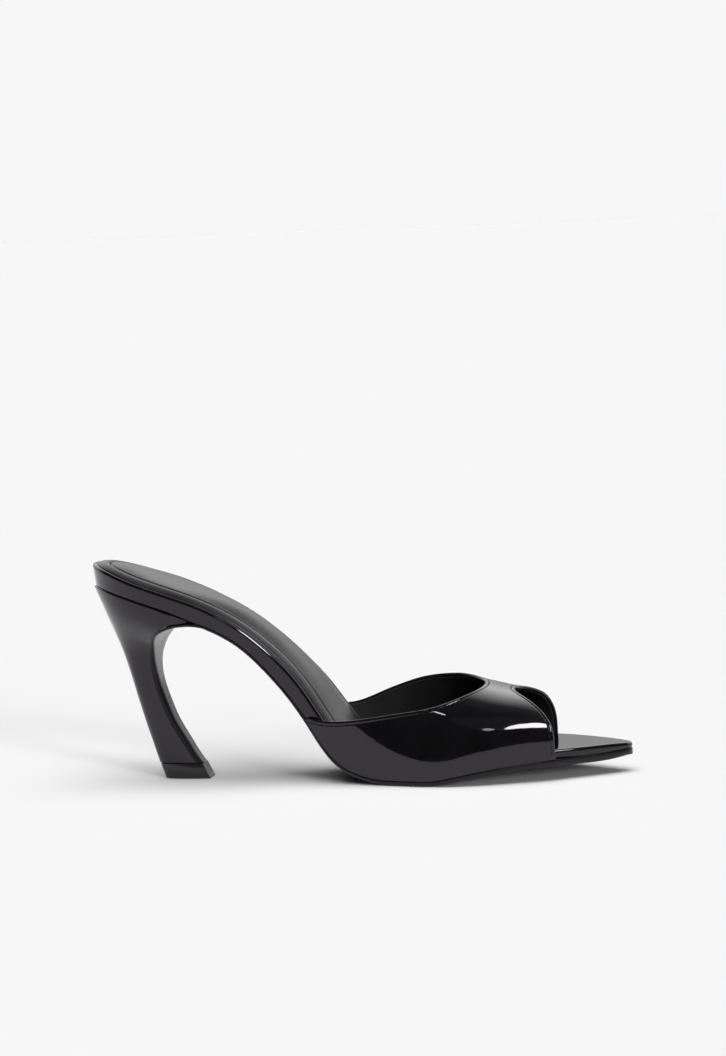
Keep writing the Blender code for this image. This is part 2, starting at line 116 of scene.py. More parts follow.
# Height over the feather up to which the vamp's sides stand upright.
UPRIGHT_COLUMNS = ("x", "height", "reach")
UPRIGHT = (
    (84.0, 30.0, 40.0), (100.0, 27.0, 38.0), (112.0, 22.0, 33.0), (120.0, 17.0, 27.0),
    (128.0, 12.0, 21.0), (135.0, 8.6, 17.0), (143.0, 6.2, 14.5), (150.0, 5.7, 14.0),
    (162.0, 6.4, 14.0), (175.0, 7.4, 14.0), (200.0, 7.6, 14.0),
)
VAMP_COLUMNS = ("around", "throat", "toe")
VAMP = (
    (-1.00, 92.6, 196.8), (-0.96, 96.1, 196.8), (-0.92, 99.8, 196.8),
    (-0.86, 105.8, 196.7), (-0.78, 117.0, 196.5), (-0.72, 125.0, 196.4),
    (-0.65, 134.2, 196.2), (-0.55, 145.0, 195.5), (-0.45, 152.7, 193.7),
    (-0.35, 158.0, 190.7), (-0.25, 161.8, 186.3), (-0.15, 164.0, 181.1),
    (-0.06, 164.6, 176.9), (0.00, 163.8, 175.9), (0.06, 161.2, 176.6),
    (0.13, 157.2, 179.2), (0.20, 153.2, 182.6), (0.33, 146.0, 186.3),
    (0.47, 136.7, 187.9), (0.59, 128.0, 189.1), (0.70, 119.4, 189.7),
    (0.81, 110.8, 190.0), (0.90, 103.2, 190.0), (0.96, 97.5, 190.0),
    (1.00, 93.5, 190.0),
)
# How much fuller the insole's dome is along its length.
PAD_COLUMNS = ("x", "lift")
PAD_LIFT = (
    (0.0, 0.0), (22.0, -0.2), (38.0, -0.7), (52.0, 0.2), (66.0, 1.0), (82.0, 0.6),
    (98.0, 0.1), (115.0, 0.0), (182.0, 0.0),
)
HEEL_COLUMNS = ("front_x", "front_z", "back_x", "back_z", "half", "seat", "flap")
HEEL = (
    (41.4, 6.9, 24.6, 6.9, 4.70, 0.00, 2.10), (39.1, 10.0, 23.6, 10.2, 4.75, 0.00, 2.30),
    (37.3, 13.0, 22.7, 13.2, 4.80, 0.00, 2.40), (35.5, 16.0, 21.75, 16.3, 4.90, 0.00, 2.45),
    (33.2, 20.0, 20.5, 20.4, 5.10, 0.00, 2.40), (30.6, 25.0, 19.0, 25.5, 5.30, 0.00, 2.35),
    (28.65, 30.0, 17.6, 30.6, 5.50, 0.00, 2.30), (26.97, 35.0, 16.2, 35.8, 5.70, 0.00, 2.20),
    (25.53, 40.0, 14.8, 41.2, 6.00, 0.00, 2.10), (24.67, 45.0, 13.3, 46.8, 6.50, 0.00, 1.95),
    (24.40, 50.0, 11.7, 52.3, 7.50, 0.02, 1.80), (24.75, 54.0, 10.2, 57.0, 9.00, 0.06, 1.70),
    (25.70, 58.0, 8.5, 61.8, 11.5, 0.14, 1.60), (26.90, 60.6, 7.0, 66.0, 14.0, 0.26, 1.50),
    (28.90, 63.1, 5.4, 70.2, 17.0, 0.42, 1.45), (31.70, 64.9, 4.1, 73.8, 19.8, 0.60, 1.40),
    (34.90, 66.2, 3.0, 76.6, 22.0, 0.76, 1.35), (38.10, 67.1, 2.2, 78.8, 23.6, 0.88, 1.30),
    (41.50, 67.5, 1.5, 80.7, 24.6, 0.96, 1.30), (45.50, 68.3, 1.0, 82.5, 25.0, 1.00, 1.30),
)
TIP_COLUMNS = ("z", "back_x", "front_x", "half")
TIP = (
    (0.0, 27.45, 46.7, 4.45), (0.12, 27.15, 46.9, 4.7), (0.5, 26.8, 47.0, 4.9),
    (3.5, 25.85, 45.5, 4.82), (6.2, 24.95, 44.15, 4.74), (6.48, 24.98, 44.05, 4.66),
    (6.58, 25.2, 43.8, 4.5),
)


# ------------------------------------------------------------------ functions
def column(table, names, name):
    return np.array([row[names.index(name)] for row in table], float)


def smooth(xs, ys):
    """A curve through the rows that never overshoots them."""
    step = np.diff(xs)
    slope = np.diff(ys) / step
    tangent = np.zeros(len(xs))
    tangent[0], tangent[-1] = slope[0], slope[-1]
    for i in range(1, len(xs) - 1):
        if slope[i - 1] * slope[i] > 0:
            a, b = 2 * step[i] + step[i - 1], step[i] + 2 * step[i - 1]
            tangent[i] = (a + b) / (a / slope[i - 1] + b / slope[i])

    def curve(x):
        x = np.clip(np.asarray(x, float), xs[0], xs[-1])
        i = np.clip(np.searchsorted(xs, x) - 1, 0, len(xs) - 2)
        t, h = (x - xs[i]) / step[i], step[i]
        return (
            (1 + 2 * t) * (1 - t) ** 2 * ys[i]
            + t * (1 - t) ** 2 * h * tangent[i]
            + t * t * (3 - 2 * t) * ys[i + 1]
            + t * t * (t - 1) * h * tangent[i + 1]
        )

    return curve


def soft_curve(table, names, name, blur):
    """The same curve with the corners between its rows rubbed out, so that
    gloss runs along it without kinks."""
    xs = column(table, names, names[0])
    curve = smooth(xs, column(table, names, name))
    step = blur / 8
    grid = np.arange(xs[0], xs[-1] + step, step)
    grid[-1] = xs[-1]
    values = curve(grid)
    reach = 32
    head = 2 * values[0] - values[1:reach + 1][::-1]
    tail = 2 * values[-1] - values[-reach - 1:-1][::-1]
    weight = np.exp(-0.5 * (np.arange(-reach, reach + 1) / 8) ** 2)
    weight /= weight.sum()
    rubbed = np.convolve(np.concatenate([head, values, tail]), weight, "valid")

    def look(x):
        return np.interp(np.asarray(x, float), grid, rubbed)

    return look


def ease(x, low, high):
    t = np.clip((np.asarray(x, float) - low) / (high - low), 0, 1)
    return t * t * (3 - 2 * t)


board_lateral = soft_curve(PLAN, PLAN_COLUMNS, "lateral", 3.0)
board_medial = soft_curve(PLAN, PLAN_COLUMNS, "medial", 3.0)
rim = soft_curve(PROFILE, PROFILE_COLUMNS, "rim", 2.4)
feather = soft_curve(PROFILE, PROFILE_COLUMNS, "feather", 2.4)
sole_thickness = soft_curve(PROFILE, PROFILE_COLUMNS, "sole", 3.0)
twist = soft_curve(TWIST, TWIST_COLUMNS, "rise", 3.0)
pad_lift = soft_curve(PAD_LIFT, PAD_COLUMNS, "lift", 4.0)
ridge = soft_curve(LAST, LAST_COLUMNS, "ridge", 4.0)
ridge_offset = soft_curve(LAST, LAST_COLUMNS, "offset", 5.0)
side_power = soft_curve(LAST, LAST_COLUMNS, "side", 5.0)
upright = soft_curve(UPRIGHT, UPRIGHT_COLUMNS, "height", 4.0)
upright_reach = soft_curve(UPRIGHT, UPRIGHT_COLUMNS, "reach", 4.0)
throat = soft_curve(VAMP, VAMP_COLUMNS, "throat", 0.03)
toe_cut = soft_curve(VAMP, VAMP_COLUMNS, "toe", 0.04)


def board_edge(x, side, inset=0.0):
    x = np.asarray(x, float)
    edge = board_lateral if side < 0 else board_medial
    back = (edge(SEAT_LENGTH) - inset) * np.sqrt(
        np.clip(1 - ((SEAT_LENGTH - x) / (SEAT_LENGTH - inset)) ** 2, 0, 1)
    )
    lean = edge(x + 0.5) - edge(x - 0.5)
    along = edge(x) - inset * np.sqrt(1 + lean**2)
    tip = side * TOE_CENTRE_Y + np.sqrt(
        np.clip((TOE_RADIUS - inset) ** 2 - (x - TOE_CENTRE_X) ** 2, 0, None)
    )
    return np.where(x < SEAT_LENGTH, back, np.where(x > TOE_JOIN_X, tip, along))


def slope_factor(curve, x):
    return np.sqrt(1 + (curve(x + 0.5) - curve(x - 0.5)) ** 2)


def across(x, y):
    outer, inner = -board_edge(x, -1), board_edge(x, 1)
    return np.clip((y - outer) / np.maximum(inner - outer, 1e-6), 0, 1)


def rim_at(x, y):
    return rim(x) + twist(x) * across(x, y)


def feather_at(x, y):
    return feather(x) + twist(x) * across(x, y)


# ------------------------------------------------------------- mesh builders
SCENE = bpy.context.scene


def piece_from(name, points, faces, surface, node):
    """A smooth mesh from points in millimetres, riding on the shoe's body."""
    mesh = bpy.data.meshes.new(name)
    mesh.from_pydata(((np.asarray(points) - SHIFT) * MM).tolist(), [], faces)
    mesh.validate()
    mesh.materials.append(surface)
    mesh.shade_smooth()
    mesh.set_sharp_from_angle(angle=math.radians(50))
    piece = bpy.data.objects.new(name, mesh)
    SCENE.collection.objects.link(piece)
    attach(piece, "root")
    if node:
        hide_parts(node)
    return piece


def turned_out(points, faces):
    """The faces, all turned so that a closed mesh has its outside outwards."""
    volume = 0.0
    p = np.asarray(points)
    for face in faces:
        for i in range(1, len(face) - 1):
            volume += np.dot(p[face[0]], np.cross(p[face[i]], p[face[i + 1]]))
    return faces if volume > 0 else [tuple(face[::-1]) for face in faces]


def loops_to_faces(rows, count, closed=True):
    faces = []
    for r in range(rows - 1):
        for i in range(count if closed else count - 1):
            j = (i + 1) % count
            faces.append((r * count + i, r * count + j, (r + 1) * count + j, (r + 1) * count + i))
    return faces


def loft(loops):
    """A closed solid through loops of one length; the two ends are filled."""
    loops = [np.asarray(loop, float) for loop in loops]
    count = len(loops[0])
    points = np.concatenate(loops)
    faces = loops_to_faces(len(loops), count)
    for row, flip in ((0, True), (len(loops) - 1, False)):
        middle = len(points)
        points = np.vstack([points, loops[row].mean(axis=0)])
        for i in range(count):
            a, b = row * count + i, row * count + (i + 1) % count
            faces.append((b, a, middle) if flip else (a, b, middle))
    return points, turned_out(points, faces)


def refine(rows, times):
    """Rows of points with smooth rows put in between (Catmull-Rom)."""
    rows = np.asarray(rows, float)
    last = len(rows) - 1
    out = []
    for i in range(last):
        a, b, c, d = rows[max(i - 1, 0)], rows[i], rows[i + 1], rows[min(i + 2, last)]
        for k in range(times):
            t = k / times
            out.append(0.5 * (
                2 * b + (c - a) * t + (2 * a - 5 * b + 4 * c - d) * t**2
                + (3 * b - a - 3 * c + d) * t**3
            ))
    out.append(rows[last])
    return np.array(out)


def relax(rows, passes, axis=0):
    """Evens out a grid of points without shrinking it; its ends stay put."""
    rows = np.array(rows, float)
    for _ in range(passes):
        for amount in (0.5, -0.52):
            moved = rows.copy()
            if axis == 0:
                moved[1:-1] += amount * (0.5 * (rows[:-2] + rows[2:]) - rows[1:-1])
            else:
                moved[:, 1:-1] += amount * (
                    0.5 * (rows[:, :-2] + rows[:, 2:]) - rows[:, 1:-1]
                )
            rows = moved
    return rows


# ---------------------------------------------------------------- materials
def new_material(name):
    made = bpy.data.materials.new(name)
    made.use_nodes = True
    tree = made.node_tree
    return made, tree, tree.nodes["Principled BSDF"]


def put(shader, **values):
    for key, value in values.items():
        shader.inputs[key.replace("_", " ")].default_value = value


def coords(tree, scale):
    """Object coordinates in metres, scaled to features per metre."""
    place = tree.nodes.new("ShaderNodeTexCoord")
    mapped = tree.nodes.new("ShaderNodeMapping")
    mapped.inputs["Scale"].default_value = scale
    tree.links.new(place.outputs["Object"], mapped.inputs["Vector"])
    return mapped.outputs["Vector"]


def noise(tree, vector, scale, detail=3.0, rough=0.5):
    made = tree.nodes.new("ShaderNodeTexNoise")
    made.inputs["Scale"].default_value = scale
    made.inputs["Detail"].default_value = detail
    made.inputs["Roughness"].default_value = rough
    tree.links.new(vector, made.inputs["Vector"])
    return made.outputs["Fac"]


def ramp(tree, value, stops):
    made = tree.nodes.new("ShaderNodeValToRGB")
    parts = made.color_ramp.elements
    while len(parts) < len(stops):
        parts.new(0.5)
    for part, (place, colour) in zip(parts, stops):
        part.position = place
        part.color = (*colour, 1.0) if len(colour) == 3 else colour
    tree.links.new(value, made.inputs["Fac"])
    return made.outputs["Color"]


def span(tree, value, low, high):
    made = tree.nodes.new("ShaderNodeMapRange")
    made.inputs["To Min"].default_value = low
    made.inputs["To Max"].default_value = high
    tree.links.new(value, made.inputs["Value"])
    return made.outputs["Result"]


def bump(tree, height, strength, distance, below=None):
    made = tree.nodes.new("ShaderNodeBump")
    made.inputs["Strength"].default_value = strength
    made.inputs["Distance"].default_value = distance
    tree.links.new(height, made.inputs["Height"])
    if below is not None:
        tree.links.new(below, made.inputs["Normal"])
    return made.outputs["Normal"]


def patent(name, tint=1.0):
    """Black leather under a clear, hard, slightly uneven coat."""
    made, tree, shader = new_material(name)
    where = coords(tree, (1, 1, 1))
    put(shader, Metallic=0.0, Specular_IOR_Level=0.32, IOR=1.5)
    shader.inputs["Specular Tint"].default_value = (0.92, 0.80, 1.0, 1)
    put(shader, Coat_Weight=0.45, Coat_Roughness=0.025, Coat_IOR=1.5)
    cloud = noise(tree, where, 60.0, 3.0)
    tree.links.new(
        ramp(tree, cloud, [
            (0.3, (0.0019 * tint, 0.0018 * tint, 0.0021 * tint)),
            (0.7, (0.0036 * tint, 0.0034 * tint, 0.0039 * tint)),
        ]),
        shader.inputs["Base Color"],
    )
    tree.links.new(span(tree, noise(tree, where, 240.0), 0.04, 0.09), shader.inputs["Roughness"])
    swell = bump(tree, noise(tree, where, 75.0, 2.0), 0.16, 0.0006)
    peel = bump(tree, noise(tree, where, 420.0, 1.5), 0.03, 0.00012, swell)
    tree.links.new(peel, shader.inputs["Normal"])
    tree.links.new(peel, shader.inputs["Coat Normal"])
    return made


def grained(name, dark, light, roughness, grain, depth, gloss=0.5, facing=1.0, finish=0.0, crease=0.25):
    """Leather with a pebble grain of the given size in millimetres; facing dulls
    the gloss of what is seen straight on, and finish is a thin coat over it."""
    made, tree, shader = new_material(name)
    where = coords(tree, (1, 1, 1))
    put(shader, Metallic=0.0, Specular_IOR_Level=gloss, IOR=1.5)
    shader.inputs["Specular Tint"].default_value = (facing, facing, facing, 1)
    put(shader, Coat_Weight=finish, Coat_Roughness=0.28, Coat_IOR=1.5)
    cells = tree.nodes.new("ShaderNodeTexVoronoi")
    cells.feature = "F1"
    cells.inputs["Scale"].default_value = 1000.0 / grain
    tree.links.new(where, cells.inputs["Vector"])
    cloud = noise(tree, where, 70.0, 4.0)
    tree.links.new(ramp(tree, cloud, [(0.28, dark), (0.72, light)]), shader.inputs["Base Color"])
    tree.links.new(
        span(tree, noise(tree, where, 300.0), roughness - 0.05, roughness + 0.06),
        shader.inputs["Roughness"],
    )
    fold = bump(tree, noise(tree, where, 130.0, 3.0), crease, 0.0004)
    tree.links.new(bump(tree, cells.outputs["Distance"], 0.35, depth, fold), shader.inputs["Normal"])
    return made


def thread(name):
    made, tree, shader = new_material(name)
    where = coords(tree, (1, 1, 1))
    put(shader, Metallic=0.0, Specular_IOR_Level=0.15)
    tree.links.new(
        ramp(tree, noise(tree, where, 900.0), [(0.3, (0.006, 0.006, 0.007)), (0.7, (0.02, 0.019, 0.021))]),
        shader.inputs["Base Color"],
    )
    tree.links.new(span(tree, noise(tree, where, 1500.0), 0.6, 0.8), shader.inputs["Roughness"])
    tree.links.new(bump(tree, noise(tree, where, 2600.0), 0.4, 0.0001), shader.inputs["Normal"])
    return made


def hard_plastic(name):
    """Moulded wear tip: satin, with fine scratches."""
    made, tree, shader = new_material(name)
    where = coords(tree, (1, 1, 1))
    streak = coords(tree, (0.25, 1.0, 3.0))
    put(shader, Metallic=0.0, Specular_IOR_Level=0.5, IOR=1.5)
    tree.links.new(
        ramp(tree, noise(tree, where, 200.0), [(0.3, (0.007, 0.0067, 0.0075)), (0.7, (0.012, 0.0115, 0.0128))]),
        shader.inputs["Base Color"],
    )
    tree.links.new(span(tree, noise(tree, streak, 700.0, 4.0), 0.10, 0.24), shader.inputs["Roughness"])
    tree.links.new(bump(tree, noise(tree, streak, 900.0, 3.0), 0.08, 0.0001), shader.inputs["Normal"])
    return made


PATENT = patent("black_patent")
WRAP = patent("black_patent_wrap")
COVER = patent("black_patent_cover")
LINING = grained("black_lining", (0.006, 0.006, 0.0065), (0.013, 0.0128, 0.0135), 0.55, 0.5, 0.0001, 0.35)
PAD = grained("black_insole_leather", (0.011, 0.0105, 0.0115), (0.021, 0.020, 0.0215), 0.31, 0.75, 0.00014, 0.5, 0.5, 0.2)
SOLE = grained("black_sole", (0.0022, 0.0021, 0.0023), (0.0050, 0.0048, 0.0051), 0.29, 0.9, 0.00003, 0.5, 0.25, 0.3, 0.08)
TIP_PLASTIC = hard_plastic("black_tip")
THREAD = thread("black_thread")


# ------------------------------------------------- rings round the footbed
SEAT_TURN = np.radians(np.linspace(0, 90, 48))
ALONG = np.linspace(0, 1, 230)[1:]
NOSE = np.linspace(1, 0, 14)[1:]


def half_ring(side, inset):
    """One side of the footbed's outline from the back to the toe, moved inwards;
    inset is a length, or a function of x."""
    depth = inset if callable(inset) else (lambda x: inset + 0 * np.asarray(x, float))
    edge = board_lateral if side < 0 else board_medial
    d = float(depth(0.0))
    back = np.column_stack([
        SEAT_LENGTH - (SEAT_LENGTH - d) * np.cos(SEAT_TURN),
        (edge(SEAT_LENGTH) - d) * np.sin(SEAT_TURN),
    ])
    d = float(depth(LENGTH))
    start = math.acos((TOE_JOIN_X - TOE_CENTRE_X) / TOE_RADIUS)
    x = SEAT_LENGTH + (TOE_CENTRE_X + (TOE_RADIUS - d) * math.cos(start) - SEAT_LENGTH) * ALONG
    lean = edge(x + 0.5) - edge(x - 0.5)
    along = np.column_stack([x, edge(x) - depth(x) * np.sqrt(1 + lean**2)])
    angle = start * NOSE
    nose = np.column_stack([
        TOE_CENTRE_X + (TOE_RADIUS - d) * np.cos(angle),
        side * TOE_CENTRE_Y + (TOE_RADIUS - d) * np.sin(angle),
    ])
    half = np.concatenate([back, along, nose])
    half[:, 1] *= side
    return half


def ring(inset):
    outer, inner = half_ring(-1, inset), half_ring(1, inset)
    return np.concatenate([outer, inner[1:-1][::-1]])


def spine_of(plan, low, high):
    """For each point of a ring, the point of the middle line it shrinks to."""
    x = np.clip(plan[:, 0], low, high)
    return np.column_stack([x, (board_edge(x, 1) - board_edge(x, -1)) / 2])


def welded(points, faces):
    """Points that lie on each other become one; faces that vanish are left out."""
    number, kept = {}, []
    for point in points:
        key = tuple(np.round(point, 3))
        if key not in number:
            number[key] = len(kept)
            kept.append(point)
    index = [number[tuple(np.round(point, 3))] for point in points]
    out = []
    for face in faces:
        corners = []
        for corner in face:
            if index[corner] not in corners:
                corners.append(index[corner])
        if len(corners) > 2:
            out.append(tuple(corners))
    return np.array(kept), out


def closed_rings(rows):
    """A closed mesh from rings; the first and last ring end on the middle line."""
    count = len(rows[0])
    points = np.concatenate(rows)
    return welded(points, turned_out(points, loops_to_faces(len(rows), count)))


def footbed_wrap():
    """Wrapped board: sides that lean in a little, rolled rim, toe ledge."""
    rows = []

    def lean_in(x):
        return 0.40 + (SEAT_UNDERCUT - 0.25) * (1 - ease(x, 34, 62)) - 0.25 * ease(x, 95, 110)

    def add(plan, level):
        rows.append(np.column_stack([plan, level]))

    roll, foot = 1.25, 0.70
    for turn in np.radians((-90, -60, -30, 0)):
        plan = ring(lambda x: lean_in(x) + foot * (1 - math.cos(turn)))
        add(plan, feather_at(plan[:, 0], plan[:, 1]) + foot * (1 + math.sin(turn)))
    for f in np.linspace(0, 1, 9)[1:-1]:
        plan = ring(lambda x: lean_in(x) * (1 - f))
        x, y = plan[:, 0], plan[:, 1]
        low = feather_at(x, y) + foot
        high = rim_at(x, y) - roll * slope_factor(rim, x)
        add(plan, low + (high - low) * f)
    for turn in np.radians((0, 13, 26, 39, 52, 65, 78, 90)):
        plan = ring(roll * (1 - math.cos(turn)))
        x, y = plan[:, 0], plan[:, 1]
        add(plan, rim_at(x, y) - roll * (1 - math.sin(turn)) * slope_factor(rim, x))
    plan = ring(1.6)
    add(plan, rim_at(plan[:, 0], plan[:, 1]))
    points = np.concatenate(rows)
    count = len(rows[0])
    faces = loops_to_faces(len(rows), count)
    half = (count + 2) // 2
    for row, level, flip in ((0, feather_at, True), (len(rows) - 1, rim_at, False)):
        first = row * count
        left = [first + i for i in range(half)]
        right = [left[0]] + [first + count - i for i in range(1, half - 1)] + [left[-1]]
        shares = np.linspace(0, 1, 13)[1:-1]
        lines = [left]
        for share in shares:
            line = [left[0]]
            for i in range(1, half - 1):
                x, y = (points[left[i]] + (points[right[i]] - points[left[i]]) * share)[:2]
                line.append(len(points))
                points = np.vstack([points, (x, y, float(level(x, y)))])
            lines.append(line + [left[-1]])
        lines.append(right)
        for near, far in zip(lines[:-1], lines[1:]):
            for i in range(half - 1):
                face = []
                for corner in (near[i], near[i + 1], far[i + 1], far[i]):
                    if corner not in face:
                        face.append(corner)
                if len(face) > 2:
                    faces.append(tuple(face[::-1]) if flip else tuple(face))
    return piece_from(
        "footbed_wrap", points, turned_out(points, faces), WRAP, "footbed"
    )


# -------------------------------------------------------------------- insole
def pad_ring(inset):
    """The insole's outline, with a straight front under the vamp."""
    end = INSOLE_END_X - (inset - INSOLE_INSET)
    sides = []
    for side in (-1, 1):
        edge = board_lateral if side < 0 else board_medial
        back = np.column_stack([
            SEAT_LENGTH - (SEAT_LENGTH - inset) * np.cos(SEAT_TURN),
            (edge(SEAT_LENGTH) - inset) * np.sin(SEAT_TURN),
        ])
        x = SEAT_LENGTH + (end - SEAT_LENGTH) * ALONG
        lean = edge(x + 0.5) - edge(x - 0.5)
        taper = 1 - 0.30 * ease(x, INSOLE_END_X - 16, INSOLE_END_X)
        along = np.column_stack([x, (edge(x) - inset * np.sqrt(1 + lean**2)) * taper])
        half = np.concatenate([back, along])
        half[:, 1] *= side
        sides.append(half)
    outer, inner = sides
    share = np.linspace(0, 1, 26)[1:-1, None]
    front = outer[-1] + (inner[-1] - outer[-1]) * share
    return np.concatenate([outer, front, inner[1:][::-1]])


def insole_pad():
    """Leather cover over foam: thin turned edge, flat border, sunk ring, dome."""
    rows = []

    def add(plan, height):
        x, y = plan[:, 0], plan[:, 1]
        rows.append(np.column_stack([plan, rim_at(x, y) + height * slope_factor(rim, x)]))

    base = pad_ring(INSOLE_INSET)
    middle = spine_of(base, 27, INSOLE_END_X - 22)
    for v in (1.0, 0.6, 0.2):
        add(base + (middle - base) * v, 0.06)
    for inset, height in (
        (2.20, 0.06), (2.17, 0.16), (2.22, 0.28), (2.40, 0.44), (2.80, 0.70),
        (3.40, 1.02), (4.20, 1.38), (5.00, 1.66), (5.70, 1.84), (6.20, 1.92),
        (6.52, 1.90), (6.78, 1.76), (7.00, 1.50), (7.20, 1.28), (7.40, 1.20),
        (7.60, 1.29), (7.80, 1.53), (8.02, 1.80), (8.32, 2.00), (8.80, 2.17),
        (9.40, 2.30),
    ):
        add(pad_ring(inset), height)
    start = pad_ring(9.4)
    middle = spine_of(start, 29, INSOLE_END_X - 24)
    reach = np.linalg.norm(middle - start, axis=1)
    for v in (0.06, 0.13, 0.21, 0.3, 0.4, 0.5, 0.6, 0.7, 0.8, 0.9, 1.0):
        plan = start + (middle - start) * v
        t = np.clip(v * reach / PAD_RISE, 0, 1)
        fade = 1 - ease(plan[:, 0], INSOLE_END_X - 34, INSOLE_END_X - 4)
        add(plan, 2.30 + (INSOLE_PAD * fade + pad_lift(plan[:, 0])) * (1 - (1 - t) ** 2.2))
    points, faces = closed_rings(rows)
    piece = piece_from("insole_pad", points, faces, PAD, "insole")
    return piece


def insole_stitches():
    """Stitches in the sunk ring, from one side round the back to the other."""
    plan = pad_ring(RING_INSET)
    plan = plan[: 48 + 170][::-1], plan[-(48 + 170):][::-1]
    plan = np.concatenate([plan[0], plan[1]])
    x, y = plan[:, 0], plan[:, 1]
    line = np.column_stack([plan, rim_at(x, y) + 1.27 * slope_factor(rim, x)])
    slant = rim(x + 0.5) - rim(x - 0.5)
    normal = np.column_stack([-slant, 0 * x, np.ones(len(x))])
    normal /= np.linalg.norm(normal, axis=1)[:, None]
    keep = np.concatenate([[True], np.linalg.norm(np.diff(line, axis=0), axis=1) > 1e-6])
    return stitch_rows(
        "insole_stitches", [(line[keep], normal[keep])], 0.22, 1.7, THREAD
    )


# --------------------------------------------------------------------- sole
def sole_edge(x, side):
    vamp_end = 196.8 if side < 0 else 190.0
    out = ease(x, 90, 108) * (1 - ease(x, vamp_end - 4, vamp_end + 10))
    slim = 0.7 * (1 - ease(x, 80, 95)) + 0.25
    return board_edge(x, side) - slim + out * (SIDE_GAP + WALL)


def flap_front():
    """Inner and outer line of the part of the sole that covers the heel."""
    front = np.column_stack([
        column(HEEL, HEEL_COLUMNS, "front_x"), column(HEEL, HEEL_COLUMNS, "front_z")
    ])[::-1]
    front[0, 1] = 67.6
    thick = column(HEEL, HEEL_COLUMNS, "flap")[::-1]
    half = column(HEEL, HEEL_COLUMNS, "half")[::-1]
    seat = column(HEEL, HEEL_COLUMNS, "seat")[::-1]
    widths = [
        (1 - seat) * half + seat * sole_edge(front[:, 0], side) for side in (-1, 1)
    ]
    run = np.gradient(front, axis=0)
    run /= np.linalg.norm(run, axis=1)[:, None]
    square = np.column_stack([-run[:, 1], run[:, 0]])
    thick[-1] /= square[-1, 0]
    square[-1] = (1.0, 0.0)
    inner = front + GAP * square
    return inner, inner + thick[:, None] * square, widths, seat * twist(front[:, 0])


# Outline of the sole's edge: distance in from the edge, share of the thickness.
EDGE_COLUMNS = ("inward", "depth")
EDGE = (
    (1.20, 0.00), (0.45, 0.00), (0.14, 0.04), (0.02, 0.14), (0.00, 0.28),
    (0.04, 0.44), (0.18, 0.60), (0.48, 0.76), (1.00, 0.90), (1.80, 1.00),
)


def sole():
    """Thin sole from the toe along the waist and down the front of the heel."""
    xs = np.concatenate([
        TOE_CENTRE_X + TOE_RADIUS * np.sin(np.radians(np.linspace(86, 6, 14))),
        np.arange(218, 47.5, -3.0),
    ])
    rows = []
    for x in xs:
        steep = slope_factor(feather, x)
        a, b = float(sole_edge(x, -1)), float(sole_edge(x, 1))
        top = float(feather(x)) - GAP * steep
        rows.append((x, top, x, top - float(sole_thickness(x)) * steep, a, b, float(twist(x))))
    near, far, (lateral, medial), roll = flap_front()
    for (x0, z0), (x1, z1), a, b, r in zip(near, far, lateral, medial, roll):
        rows.append((x0, z0, x1, z1, a, b, r))
    rows = refine(rows, 3)
    rows = relax(rows, 2)
    inward = column(EDGE, EDGE_COLUMNS, "inward")
    depth = column(EDGE, EDGE_COLUMNS, "depth")
    sections = []
    for x0, z0, x1, z1, a, b, r in rows:
        wide = max(a + b, 0.05)
        pull = np.minimum(inward, 0.2 * wide)
        near, far = np.array([x0, z0]), np.array([x1, z1])
        shares = np.linspace(0, 1, 8)[1:-1]

        def at(y, d):
            x, z = near + (far - near) * d
            return (x, y, z + r * np.clip((y + a) / wide, 0, 1))

        left = [at(-a + p, d) for p, d in zip(pull, depth)]
        right = [at(b - p, d) for p, d in zip(pull, depth)]
        under = [at(-a + pull[-1] + (wide - 2 * pull[-1]) * s, 1.0) for s in shares]
        over = [at(-a + pull[0] + (wide - 2 * pull[0]) * s, 0.0) for s in shares]
        sections.append(left + under + right[::-1] + over[::-1])
    points, faces = loft(sections)
    return piece_from("sole", points, faces, SOLE, "outsole")


# --------------------------------------------------------------------- heel
def heel_cover():
    """Covered block: slices that fan from the level tip to the sloping seat."""
    shares = np.concatenate([np.linspace(0, 0.5, 14)[:-1], 0.5 + 0.5 * np.sin(np.linspace(0, np.pi / 2, 22))])
    front = np.array([HEEL[-1][0], HEEL[-1][1]])
    back = np.array([HEEL[-1][2], HEEL[-1][3]])
    sections = []
    for row in HEEL:
        value = dict(zip(HEEL_COLUMNS, row))
        a = np.array([value["front_x"], value["front_z"]])
        b = np.array([value["back_x"], value["back_z"]])
        lateral, medial = [], []
        for share in shares:
            x, z = a + (b - a) * share
            seat_x = back[0] + (a[0] - b[0]) * (1 - share)
            seat_z = front[1] + (back[1] - front[1]) * share
            under_x = front[0] + (back[0] - front[0]) * share
            bow = feather(under_x) - GAP * slope_factor(feather, under_x) - seat_z
            z += bow * value["seat"] ** 2
            stem = value["half"] * np.sqrt(max(1 - share**3, 0.0))
            for side, points in ((-1, lateral), (1, medial)):
                seat = max(board_edge(seat_x, side) - SEAT_UNDERCUT - 0.2, 0.0)
                y = side * ((1 - value["seat"]) * stem + value["seat"] * seat)
                points.append((x, y, z + twist(x) * (side > 0) * value["seat"]))
        sections.append(lateral + medial[:-1][::-1])
    rows = refine(sections, 5)
    rows = np.array(relax(rows, 6))
    crown = rows[-1].copy()
    centre = crown[:, :2].mean(axis=0)
    depth = np.linalg.norm(rows - crown, axis=2)
    turn = 1 - np.clip(depth / HEEL_ROUND, 0, 1)
    inward = HEEL_ROUND * (1 - np.sqrt(1 - 0.98 * turn**2))
    arm = rows[..., :2] - centre
    span_out = np.maximum(np.linalg.norm(arm, axis=2), 1.0)
    rows[..., :2] -= arm * (inward / span_out)[..., None]
    points, faces = loft(list(rows))
    return piece_from("heel_cover", points, faces, COVER, "heel")


